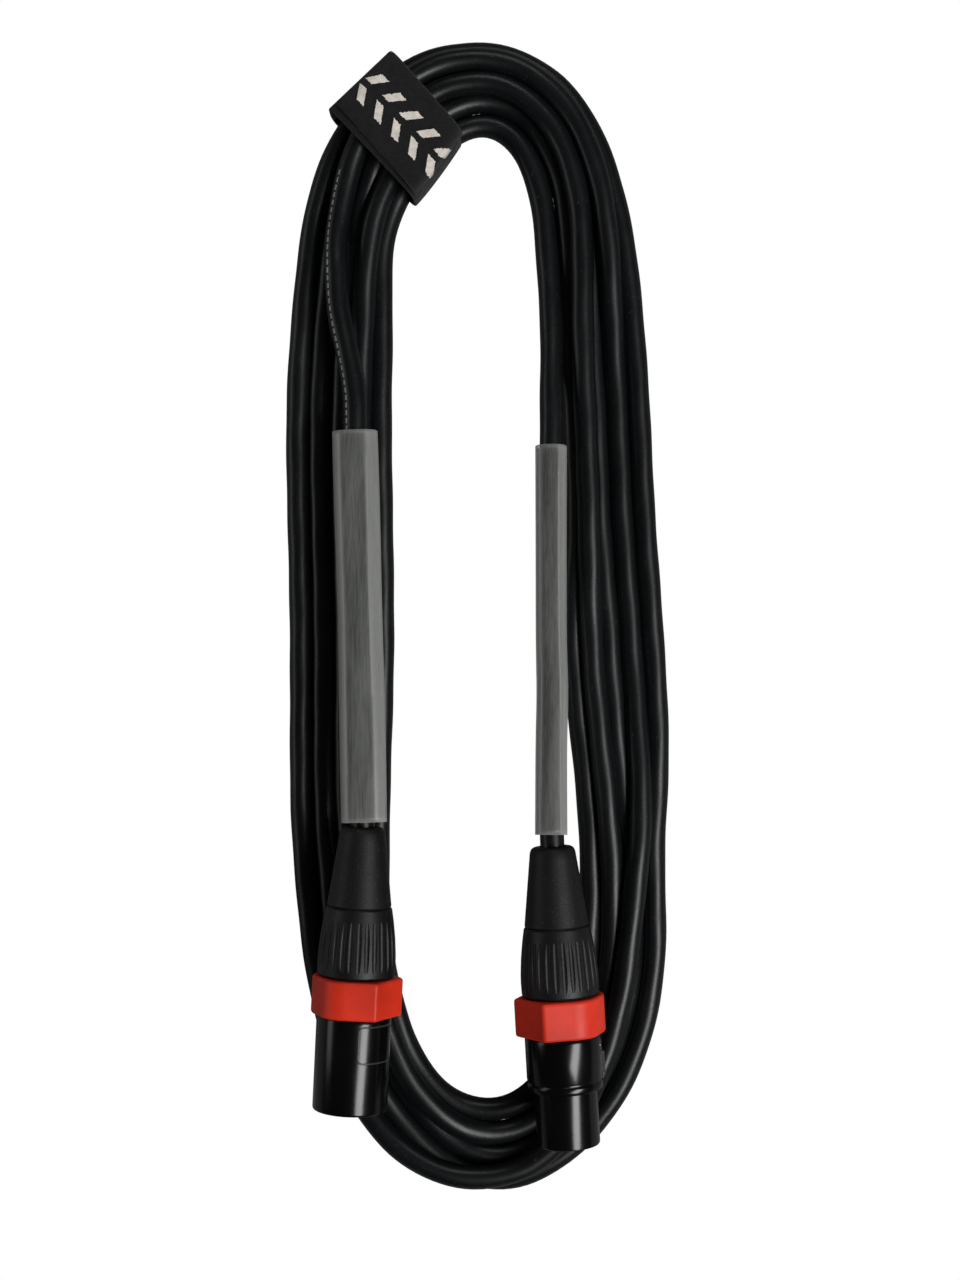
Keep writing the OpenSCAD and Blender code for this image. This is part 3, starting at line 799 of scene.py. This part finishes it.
for side_name, wander, width, height, shade in (
    ("plug", plug_wander, 11.6 * MM, 7.7 * MM, 1.0),
    ("socket", socket_wander, 8.2 * MM, 7.9 * MM, 0.82),
):
    node = side_name + "_label_sleeve"
    film = sleeve_plastic(side_name + "_sleeve_plastic", shade)
    tube = sleeve_tube(
        side_name + "_sleeve_film", node, side_name + "_sleeve_slide", width, height, wander, film
    )
    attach(tube, side_name + "_sleeve")
    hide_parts(node)


# ---------------------------------------------------------------- strap

peel = joints["strap_peel"]
bundle_way = -Vector(peel["axis"])
bundle_way.normalize()
outward = Vector((-bundle_way.y, bundle_way.x, 0))
band_low, band_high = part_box("strap_band")
strap_middle = (band_low + band_high) / 2
strap_middle.z = 0
band_half = extent("strap_band", outward, strap_middle)[1]
band_top = band_high.z
STRAP_W = 20 * MM
LAYER = 1.15 * MM  # webbing thickness
RIB = 0.5  # millimetres between the webbing's ribs
CHEVRON_PITCH, CHEVRON_SLOPE, CHEVRON_SHARE = 6.4, 0.75, 0.4
CHEVRON_INNER, CHEVRON_OUTER = 0.9, 4.6  # millimetres from the strap's middle line


def webbing(name, woven_in):
    """Black ribbed webbing, with a row of pale chevrons down its middle where woven_in is 1."""
    material, tree, shader, add = node_material(name)
    place = add("ShaderNodeAttribute", attribute_name="laid")

    def measured(direction):
        """Distance along a direction from the strap's middle, in millimetres."""
        dot = add("ShaderNodeVectorMath", operation="DOT_PRODUCT")
        tree.links.new(place.outputs["Vector"], dot.inputs[0])
        dot.inputs[1].default_value = direction / MM
        return dot.outputs["Value"]

    def maths(operation, *values):
        made = add("ShaderNodeMath", operation=operation)
        for socket, value in zip(made.inputs, values):
            if isinstance(value, (int, float)):
                socket.default_value = value
            else:
                tree.links.new(value, socket)
        return made.outputs[0]

    across, along, height = measured(bundle_way), measured(outward), measured(UP)
    run = maths("ADD", along, height)
    warp = maths("SINE", maths("MULTIPLY", across, 2 * math.pi / RIB))
    weft = maths("SINE", maths("MULTIPLY", run, 2 * math.pi / RIB))
    weave = maths("MULTIPLY", warp, weft)
    weave = maths("ADD", weave, maths("MULTIPLY", weft, 0.6))

    edge_noise = noise_field(tree, add, 1500, 2)
    ragged = maths("MULTIPLY", maths("SUBTRACT", edge_noise, 0.5), 0.9)
    off_centre = maths("ABSOLUTE", maths("ADD", across, ragged))
    slanted = maths("ADD", along, maths("MULTIPLY", off_centre, CHEVRON_SLOPE))
    phase = maths("FRACT", maths("DIVIDE", slanted, CHEVRON_PITCH))
    stripe = maths("LESS_THAN", maths("ADD", phase, maths("MULTIPLY", ragged, 0.08)), CHEVRON_SHARE)
    in_row = maths("LESS_THAN", off_centre, CHEVRON_OUTER)
    hollow = maths("GREATER_THAN", off_centre, CHEVRON_INNER)
    past_fold = maths("MULTIPLY", maths("GREATER_THAN", along, 0.0), 1.4)
    on_top = maths("GREATER_THAN", height, maths("ADD", past_fold, band_top / MM - 2))
    pattern = maths("MULTIPLY", maths("MULTIPLY", stripe, in_row), maths("MULTIPLY", on_top, hollow))
    pattern = maths("MULTIPLY", pattern, woven_in)

    lint = noise_field(tree, add, 700, 4)
    cloth = ramp(tree, add, lint, [(0.3, (0.004, 0.004, 0.0045)), (0.75, (0.011, 0.011, 0.0115))])
    thread = ramp(tree, add, lint, [(0.3, (0.76, 0.7, 0.62)), (0.7, (1.0, 0.94, 0.86))])
    tree.links.new(blend_colours(tree, add, pattern, cloth, thread), shader.inputs["Base Color"])
    shader.inputs["Roughness"].default_value = 0.85
    shader.inputs["Sheen Weight"].default_value = 0.1
    shader.inputs["Specular IOR Level"].default_value = 0.25
    relief = maths("ADD", weave, maths("MULTIPLY", pattern, 1.6))
    bump(tree, add, shader, relief, 0.00012, 0.8)
    return material


plain_webbing = webbing("plain_webbing", 0.0)
woven_webbing = webbing("woven_webbing", 1.0)

INNER_TRIM = 3.4 * MM  # how much shorter the strap's inner end is at its upper edge


def trimmed(out, across):
    """Draws the strap's inner end in towards one edge, where it lies tight on the inner strand."""
    share = max(0.0, across / STRAP_W + 0.5) ** 1.4
    return out + INNER_TRIM * share * max(0.0, -out / band_half)


def ribbon(name, path, shifts, width, thickness, closed, material):
    """Webbing along path, a list of (outward, height) in metres in the plane across the bundle.
    shifts moves each row along the bundle, so that the webbing can run slightly askew."""
    count = len(path)
    edge_steps, face_steps = 4, 12
    half, edge = width / 2, thickness * 0.4
    profile = []
    for side in (1, -1):
        for k in range(edge_steps + 1):
            a = -math.pi / 2 + math.pi * k / edge_steps
            reach = half - edge + edge * math.cos(a)
            profile.append((side * reach, side * thickness / 2 * math.sin(a)))
        for k in range(1, face_steps):
            profile.append((side * (half - edge) * (1 - 2 * k / face_steps), side * thickness / 2))
    verts, faces = [], []
    size = len(profile)
    for k, (out, height) in enumerate(path):
        before = path[(k - 1) % count] if closed or k else path[k]
        after = path[(k + 1) % count] if closed or k < count - 1 else path[k]
        run = Vector((after[0] - before[0], after[1] - before[1])).normalized()
        normal = (-run.y, run.x)
        for across, lift in profile:
            verts.append(
                strap_middle + bundle_way * (across + shifts[k])
                + outward * trimmed(out + normal[0] * lift, across)
                + UP * (height + normal[1] * lift)
            )
    for k in range(count if closed else count - 1):
        next_row = (k + 1) % count
        for j in range(size):
            n = (j + 1) % size
            faces.append((k * size + j, next_row * size + j, next_row * size + n, k * size + n))
    if not closed:
        faces.append(tuple(range(size)))
        faces.append(tuple((count - 1) * size + j for j in range(size - 1, -1, -1)))
    made = new_object(name, verts, faces, material)
    face_outward(made)
    laid = made.data.attributes.new("laid", "FLOAT_VECTOR", "POINT")
    for vert, place in zip(made.data.vertices, laid.data):
        place.vector = vert.co - strap_middle
    return made


BAND_POWER = 0.42  # 1 would be an ellipse, 0 a box
BAND_SHIFT = -1.1 * MM


def band_path(half_out, top, inset, steps=120):
    """A rounded band seen along the bundle, inset from the CAD band's outside."""
    half_width, half_height = half_out - inset, top / 2 - inset
    turns = [2 * math.pi * k / steps for k in range(steps)]
    return [
        (half_width * signed_power(math.cos(t), BAND_POWER),
         top / 2 + half_height * signed_power(math.sin(t), BAND_POWER))
        for t in turns
    ]


under = band_path(band_half, band_top, LAYER / 2)
strap_loop = ribbon("strap_loop", under, [BAND_SHIFT] * len(under), STRAP_W, LAYER, True, plain_webbing)
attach(strap_loop, "root")
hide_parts("strap_band")

tail_low, tail_high = extent("strap_tail", outward, strap_middle)
tail_path = []
TAIL_ROWS = 60
TAIL_OVER, TAIL_EXTRA = 0.5 * MM, 0.9 * MM  # past the CAD tail's outer end, and longer than it
CURL = 2.88 * MM  # how far each end of the strap curls down
CURL_FROM = 3.4 * MM  # how far from its ends the curl starts


def curled(fall):
    """Drop of a quarter round of unit size, at a share fall of its width."""
    return 1 - math.sqrt(max(0.0, 1 - min(1, fall) ** 2))


for k in range(TAIL_ROWS + 1):
    s = k / TAIL_ROWS
    out = tail_high + TAIL_OVER - s * (tail_high - tail_low + TAIL_EXTRA)
    fall_low = max(0.0, (tail_low + CURL_FROM - out) / (3.8 * MM))
    fall_high = max(0.0, (out - tail_high + CURL_FROM) / (3.9 * MM))
    drop = CURL * (curled(fall_low) + curled(fall_high))
    ripple = 0.1 * MM * math.sin(s * 9.5)
    tail_path.append((out, band_top + LAYER / 2 + 0.1 * MM + ripple * (1 - fall_low) - drop))
skew = [1.1 * MM * (0.4 - k / TAIL_ROWS) + 0.5 * MM for k in range(TAIL_ROWS + 1)]
strap_over = ribbon("strap_over", tail_path, skew, STRAP_W, LAYER, False, woven_webbing)
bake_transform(strap_over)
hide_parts("strap_tail")


# ---------------------------------------------------------------- floor, light and camera

def studio_floor():
    """A sheet that is pure white to the camera and dark grey to everything else."""
    material, tree, shader, add = node_material("studio_floor")
    tone = noise_field(tree, add, 3, 2)
    tree.links.new(
        ramp(tree, add, tone, [(0.2, (0.20, 0.20, 0.20)), (0.8, (0.23, 0.23, 0.23))]),
        shader.inputs["Base Color"],
    )
    shader.inputs["Roughness"].default_value = 0.7
    glow = add("ShaderNodeEmission", Strength=1.0)
    seen = add("ShaderNodeLightPath")
    mix = add("ShaderNodeMixShader")
    tree.links.new(seen.outputs["Is Camera Ray"], mix.inputs[0])
    tree.links.new(shader.outputs["BSDF"], mix.inputs[1])
    tree.links.new(glow.outputs["Emission"], mix.inputs[2])
    tree.links.new(mix.outputs["Shader"], tree.nodes["Material Output"].inputs["Surface"])
    return material


FLOOR_HALF, FLOOR_Z = 3.0, -0.2 * MM
corners = [(x * FLOOR_HALF, y * FLOOR_HALF, FLOOR_Z) for x, y in ((-1, -1), (1, -1), (1, 1), (-1, 1))]
floor = new_object("floor", corners, [(0, 1, 2, 3)], studio_floor(), smooth=False)


def soft_light(name, place, width, height, power):
    """A rectangular light of so many watts, turned to the middle of the coil."""
    light = bpy.data.lights.new(name, "AREA")
    light.shape = "RECTANGLE"
    light.size, light.size_y = width, height
    light.energy = power
    made = bpy.data.objects.new(name, light)
    made.location = place
    made.rotation_euler = (-Vector(place)).to_track_quat("-Z", "Y").to_euler()
    bpy.context.scene.collection.objects.link(made)


soft_light("key_light", (0.78, -0.45, 1.15), 0.9, 0.5, 20)
soft_light("left_light", (-1.3, 0.2, 0.45), 1.2, 0.4, 3)
soft_light("far_light", (0.2, 1.3, 1.0), 0.8, 0.3, 4)

WORLD_GLOW = 0.02  # the world as a light; to the camera it is white
world = bpy.data.worlds.new("studio_world")
world.use_nodes = True
backdrop = world.node_tree.nodes["Background"]
seen = world.node_tree.nodes.new("ShaderNodeLightPath")
strength = world.node_tree.nodes.new("ShaderNodeMapRange")
strength.inputs["To Min"].default_value = WORLD_GLOW
strength.inputs["To Max"].default_value = 1.0
world.node_tree.links.new(seen.outputs["Is Camera Ray"], strength.inputs["Value"])
world.node_tree.links.new(strength.outputs["Result"], backdrop.inputs["Strength"])
backdrop.inputs["Color"].default_value = (1, 1, 1, 1)
bpy.context.scene.world = world
bpy.context.scene.view_settings.view_transform = "Standard"

CAMERA_HEIGHT = 500 * MM
STRAND_HEIGHT = 4 * MM
VIEW_LENGTH = 337 * MM  # how much of the strands' plane the picture's height takes in
CAMERA_RIGHT, CAMERA_UP = 0.7 * MM, -6.7 * MM  # from the middle of the part
camera_data = bpy.data.cameras.new("camera")
camera_data.sensor_fit = "VERTICAL"
camera_data.angle = 2 * math.atan(VIEW_LENGTH / 2 / (CAMERA_HEIGHT - STRAND_HEIGHT))
camera_data.clip_start = 0.01
camera = bpy.data.objects.new("camera", camera_data)
low, high = cad_box
camera.location = (
    (low[0] + high[0]) / 2 + CAMERA_RIGHT, (low[1] + high[1]) / 2 + CAMERA_UP, CAMERA_HEIGHT
)
bpy.context.scene.collection.objects.link(camera)
bpy.context.scene.camera = camera
